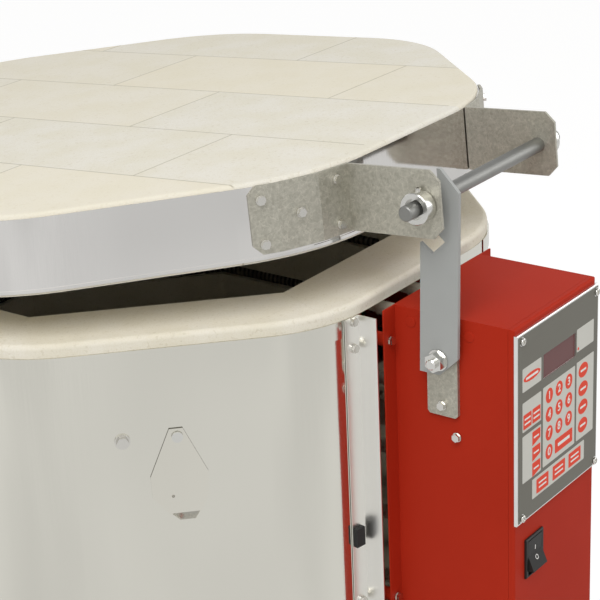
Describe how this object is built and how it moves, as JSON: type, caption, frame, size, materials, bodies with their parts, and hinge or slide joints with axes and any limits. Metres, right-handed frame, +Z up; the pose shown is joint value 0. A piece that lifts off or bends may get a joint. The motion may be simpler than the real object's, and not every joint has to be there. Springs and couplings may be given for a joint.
{
  "type": "electric ceramic kiln",
  "caption": "Octagonal top-loading electric kiln on a stand, with a propped hinged brick lid, steel jacket and a red control box.",
  "frame": {"origin": "centre of the overall outline, at floor level under the glides", "axes": "+Z up, -Y towards the control box and the lid's handle rod, +Y towards the lid hinge, +X to the right of the control box"},
  "size_m": [0.5682, 0.7694, 0.8233],
  "materials": {
    "firebrick": "matte soft insulating brick",
    "chamber_brick": "matte soft insulating brick",
    "element_wire": "dark oxidised resistance wire",
    "porcelain": "smooth fired porcelain",
    "stainless": "polished stainless sheet",
    "galvanised": "galvanised steel",
    "stand_steel": "dark grey powder coat",
    "foot_plastic": "black",
    "red_paint": "red powder coat",
    "faceplate_paint": "grey satin",
    "overlay_print": "printed satin film",
    "display_window": "tinted clear",
    "switch_black": "black satin",
    "board": "circuit board",
    "module_black": "black",
    "iron_core": "laminated iron",
    "arm_paint": "light grey",
    "rod_steel": "drawn steel bar",
    "zinc": "bright zinc plated",
    "screw_steel": "bright zinc plated",
    "gland_plastic": "black nylon"
  },
  "bodies": {
    "kiln": {"stand_ring": "stand_steel", "stand_legs": "stand_steel", "stand_braces": "stand_steel", "leg_glides": "foot_plastic", "base_pan": "stainless", "floor_slab": "chamber_brick", "wall_course_1": "chamber_brick", "wall_course_2": "chamber_brick", "wall_course_3": "chamber_brick", "wall_course_4": "chamber_brick", "heating_elements": "element_wire", "element_terminals": "porcelain", "thermocouple_probe": "porcelain", "thermocouple_block": "porcelain", "jacket": "stainless", "jacket_top_band": "stainless", "corner_angle": "stainless", "jacket_sheet_screws": "screw_steel", "cover_stop_screws": "screw_steel", "cover_rivets": "zinc", "hinge_plates": "galvanised", "box_shell": "red_paint", "box_front_cover": "red_paint", "box_standoffs": "zinc", "box_flange_screws": "screw_steel", "box_side_screws": "screw_steel", "faceplate": "faceplate_paint", "keypad_overlay": "overlay_print", "display_window": "display_window", "display_module": "module_black", "faceplate_screws": "screw_steel", "circuit_board": "board", "board_posts": "zinc", "switch_housing": "switch_black", "heat_shield": "galvanised", "relays": "module_black", "transformer": "iron_core", "terminal_block": "module_black", "cord_gland": "gland_plastic", "support_bar": "galvanised", "pivot_bolt": "zinc", "pivot_washers": "zinc", "pivot_nut": "zinc"},
    "hinge_rod": {"hinge_rod": "rod_steel", "hinge_collars": "zinc", "hinge_set_screws": "screw_steel"},
    "lid": {"lid_bricks": "firebrick", "lid_band": "stainless", "bracket_front_left": "galvanised", "bracket_front_right": "galvanised", "bracket_rear_left": "galvanised", "bracket_rear_right": "galvanised", "bracket_screws": "screw_steel", "handle_rod": "rod_steel", "handle_collars": "zinc", "handle_set_screws": "screw_steel"},
    "prop_arm": {"prop_arm": "arm_paint"},
    "peephole_cover_upper": {"peephole_cover_upper": "stainless"},
    "peephole_cover_lower": {"peephole_cover_lower": "stainless"},
    "power_rocker": {"power_rocker": "switch_black"}
  },
  "joints": [
    {"name": "lid_lower", "type": "hinge", "parent": "kiln", "child": "hinge_rod", "pos_m": [0, 0.36862, 0.74515], "axis": [-1, 0, 0], "range_deg": [-4.36, 0]},
    {"name": "lid_raise", "type": "hinge", "parent": "hinge_rod", "child": "lid", "pos_m": [0, 0.36862, 0.74515], "axis": [-1, 0, 0], "range_deg": [0, 80]},
    {"name": "prop_swing", "type": "hinge", "parent": "kiln", "child": "prop_arm", "pos_m": [-0.0668, -0.32157, 0.67865], "axis": [1, 0, 0], "range_deg": [0, 145]},
    {"name": "cover_swing_upper", "type": "hinge", "parent": "kiln", "child": "peephole_cover_upper", "pos_m": [-0.19551, -0.18268, 0.63735], "axis": [-0.7071, -0.7071, 0], "range_deg": [-30, 100]},
    {"name": "cover_swing_lower", "type": "hinge", "parent": "kiln", "child": "peephole_cover_lower", "pos_m": [-0.19551, -0.18268, 0.40875], "axis": [-0.7071, -0.7071, 0], "range_deg": [-30, 100]},
    {"name": "power_rocker", "type": "hinge", "parent": "kiln", "child": "power_rocker", "pos_m": [-0.0324, -0.37308, 0.52315], "axis": [1, 0, 0], "range_deg": [0, 22]}
  ],
  "couplings": [
    {"joint": "prop_swing", "follows": "lid_lower", "ratio": -33.2}
  ]
}
